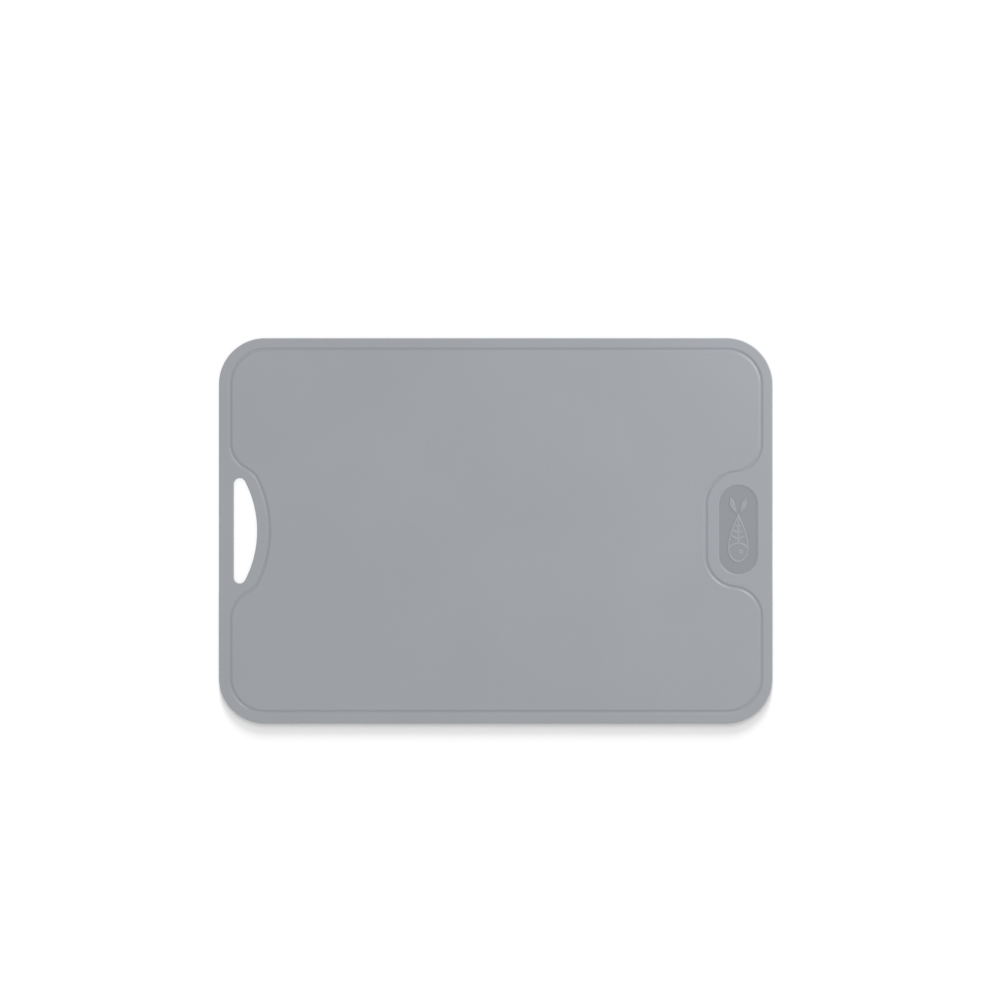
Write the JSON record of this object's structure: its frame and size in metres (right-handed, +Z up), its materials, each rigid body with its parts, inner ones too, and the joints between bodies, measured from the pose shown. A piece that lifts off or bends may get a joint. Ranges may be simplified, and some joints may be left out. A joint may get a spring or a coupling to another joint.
{
  "type": "flexible cutting mat",
  "caption": "Thin flexible grey cutting mat with a juice groove, a D-shaped hand and hanging slot and a sunk badge with a plain fish; its long sides curl up into a chute.",
  "frame": {"origin": "middle of the underside, where the mat lies on the worktop", "axes": "+X along the mat's length, from the handle slot to the badge; +Y across it, up in the picture; +Z up, out of the cutting face"},
  "size_m": [0.36, 0.2504, 0.002],
  "materials": {
    "mat": "satin"
  },
  "bodies": {
    "middle": {"middle_panel": "mat"},
    "rear_1": {"rear_strip_1": "mat"},
    "rear_2": {"rear_strip_2": "mat"},
    "rear_3": {"rear_strip_3": "mat"},
    "rear_4": {"rear_strip_4": "mat"},
    "rear_5": {"rear_strip_5": "mat"},
    "rear_6": {"rear_strip_6": "mat"},
    "rear_7": {"rear_strip_7": "mat"},
    "rear_8": {"rear_strip_8": "mat"},
    "front_1": {"front_strip_1": "mat"},
    "front_2": {"front_strip_2": "mat"},
    "front_3": {"front_strip_3": "mat"},
    "front_4": {"front_strip_4": "mat"},
    "front_5": {"front_strip_5": "mat"},
    "front_6": {"front_strip_6": "mat"},
    "front_7": {"front_strip_7": "mat"},
    "front_8": {"front_strip_8": "mat"}
  },
  "joints": [
    {"name": "rear_curl_1", "type": "hinge", "parent": "middle", "child": "rear_1", "pos_m": [0, 0.049, 0.001], "axis": [1, 0, 0], "range_deg": [0, 12], "stiffness_Nm_per_rad": 1},
    {"name": "rear_curl_2", "type": "hinge", "parent": "rear_1", "child": "rear_2", "pos_m": [0, 0.05853, 0.001], "axis": [1, 0, 0], "range_deg": [0, 12], "stiffness_Nm_per_rad": 1},
    {"name": "rear_curl_3", "type": "hinge", "parent": "rear_2", "child": "rear_3", "pos_m": [0, 0.06806, 0.001], "axis": [1, 0, 0], "range_deg": [0, 12], "stiffness_Nm_per_rad": 1},
    {"name": "rear_curl_4", "type": "hinge", "parent": "rear_3", "child": "rear_4", "pos_m": [0, 0.07759, 0.001], "axis": [1, 0, 0], "range_deg": [0, 12], "stiffness_Nm_per_rad": 1},
    {"name": "rear_curl_5", "type": "hinge", "parent": "rear_4", "child": "rear_5", "pos_m": [0, 0.08712, 0.001], "axis": [1, 0, 0], "range_deg": [0, 12], "stiffness_Nm_per_rad": 1},
    {"name": "rear_curl_6", "type": "hinge", "parent": "rear_5", "child": "rear_6", "pos_m": [0, 0.09666, 0.001], "axis": [1, 0, 0], "range_deg": [0, 12], "stiffness_Nm_per_rad": 1},
    {"name": "rear_curl_7", "type": "hinge", "parent": "rear_6", "child": "rear_7", "pos_m": [0, 0.10619, 0.001], "axis": [1, 0, 0], "range_deg": [0, 12], "stiffness_Nm_per_rad": 1},
    {"name": "rear_curl_8", "type": "hinge", "parent": "rear_7", "child": "rear_8", "pos_m": [0, 0.11572, 0.001], "axis": [1, 0, 0], "range_deg": [0, 12], "stiffness_Nm_per_rad": 1},
    {"name": "front_curl_1", "type": "hinge", "parent": "middle", "child": "front_1", "pos_m": [0, -0.049, 0.001], "axis": [-1, 0, 0], "range_deg": [0, 12], "stiffness_Nm_per_rad": 1},
    {"name": "front_curl_2", "type": "hinge", "parent": "front_1", "child": "front_2", "pos_m": [0, -0.05853, 0.001], "axis": [-1, 0, 0], "range_deg": [0, 12], "stiffness_Nm_per_rad": 1},
    {"name": "front_curl_3", "type": "hinge", "parent": "front_2", "child": "front_3", "pos_m": [0, -0.06806, 0.001], "axis": [-1, 0, 0], "range_deg": [0, 12], "stiffness_Nm_per_rad": 1},
    {"name": "front_curl_4", "type": "hinge", "parent": "front_3", "child": "front_4", "pos_m": [0, -0.07759, 0.001], "axis": [-1, 0, 0], "range_deg": [0, 12], "stiffness_Nm_per_rad": 1},
    {"name": "front_curl_5", "type": "hinge", "parent": "front_4", "child": "front_5", "pos_m": [0, -0.08712, 0.001], "axis": [-1, 0, 0], "range_deg": [0, 12], "stiffness_Nm_per_rad": 1},
    {"name": "front_curl_6", "type": "hinge", "parent": "front_5", "child": "front_6", "pos_m": [0, -0.09666, 0.001], "axis": [-1, 0, 0], "range_deg": [0, 12], "stiffness_Nm_per_rad": 1},
    {"name": "front_curl_7", "type": "hinge", "parent": "front_6", "child": "front_7", "pos_m": [0, -0.10619, 0.001], "axis": [-1, 0, 0], "range_deg": [0, 12], "stiffness_Nm_per_rad": 1},
    {"name": "front_curl_8", "type": "hinge", "parent": "front_7", "child": "front_8", "pos_m": [0, -0.11572, 0.001], "axis": [-1, 0, 0], "range_deg": [0, 12], "stiffness_Nm_per_rad": 1}
  ],
  "couplings": [
    {"joint": "rear_curl_2", "follows": "rear_curl_1", "ratio": 1},
    {"joint": "rear_curl_3", "follows": "rear_curl_1", "ratio": 1},
    {"joint": "rear_curl_4", "follows": "rear_curl_1", "ratio": 1},
    {"joint": "rear_curl_5", "follows": "rear_curl_1", "ratio": 1},
    {"joint": "rear_curl_6", "follows": "rear_curl_1", "ratio": 1},
    {"joint": "rear_curl_7", "follows": "rear_curl_1", "ratio": 1},
    {"joint": "rear_curl_8", "follows": "rear_curl_1", "ratio": 1},
    {"joint": "front_curl_2", "follows": "front_curl_1", "ratio": 1},
    {"joint": "front_curl_3", "follows": "front_curl_1", "ratio": 1},
    {"joint": "front_curl_4", "follows": "front_curl_1", "ratio": 1},
    {"joint": "front_curl_5", "follows": "front_curl_1", "ratio": 1},
    {"joint": "front_curl_6", "follows": "front_curl_1", "ratio": 1},
    {"joint": "front_curl_7", "follows": "front_curl_1", "ratio": 1},
    {"joint": "front_curl_8", "follows": "front_curl_1", "ratio": 1}
  ]
}
